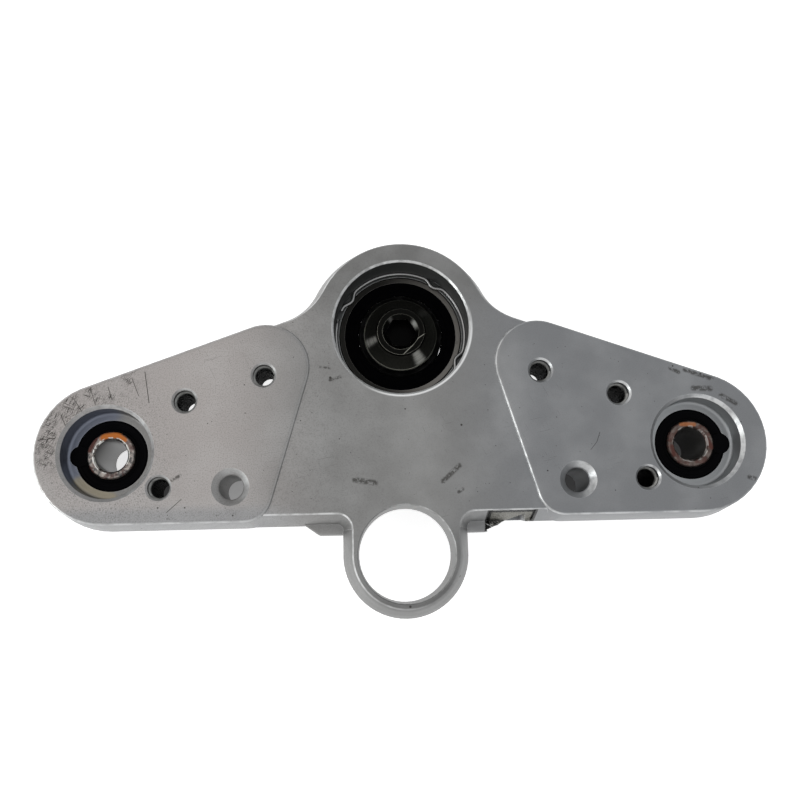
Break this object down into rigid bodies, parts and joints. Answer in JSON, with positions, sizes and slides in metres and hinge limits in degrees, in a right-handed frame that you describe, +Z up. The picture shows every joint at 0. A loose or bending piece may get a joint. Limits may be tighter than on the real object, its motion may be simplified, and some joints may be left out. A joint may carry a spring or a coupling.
{
  "type": "motorcycle upper triple clamp",
  "caption": "Forged aluminium motorcycle upper fork bridge with rubber-bushed fork eyes, a bearing pivot in the hub and an ignition lock ring.",
  "frame": {"origin": "on the steering axis, in the plane that the hub and fork eye bosses rest on", "axes": "+X to the bridge's right fork leg as seen from above with the hub ahead, +Y from the ignition lock ring to the hub, +Z up out of the handlebar pads"},
  "size_m": [0.2674, 0.1417, 0.0351],
  "materials": {
    "forged_aluminium": "satin silver, worn and spotted with dirt",
    "bush_rubber": "matte black",
    "rusted_steel": "plated steel with brown and orange rust",
    "bearing_steel": "ground steel under grime",
    "ball_steel": "polished",
    "cage_plastic": "greased",
    "seal_rubber": "satin black with grime",
    "spring_steel": "bright drawn wire",
    "black_oxide_steel": "black oxide, satin"
  },
  "bodies": {
    "bridge": {"fork_bridge": "forged_aluminium", "bush_rubber_left": "bush_rubber", "bush_rubber_right": "bush_rubber", "bush_sleeve_left": "rusted_steel", "bush_sleeve_right": "rusted_steel", "bearing_outer_race": "bearing_steel", "bearing_seal_upper": "seal_rubber", "bearing_seal_lower": "seal_rubber", "bearing_retaining_ring": "spring_steel"},
    "pivot": {"bearing_inner_race": "bearing_steel", "pivot_bolt": "black_oxide_steel"},
    "cage": {"bearing_balls": "ball_steel", "bearing_cage": "cage_plastic"}
  },
  "joints": [
    {"name": "pivot_spin", "type": "hinge", "parent": "bridge", "child": "pivot", "pos_m": [0, 0, 0], "axis": [0, 0, 1], "continuous": true},
    {"name": "cage_spin", "type": "hinge", "parent": "bridge", "child": "cage", "pos_m": [0, 0, 0], "axis": [0, 0, 1], "continuous": true}
  ],
  "couplings": [
    {"joint": "cage_spin", "follows": "pivot_spin", "ratio": 0.4059}
  ]
}
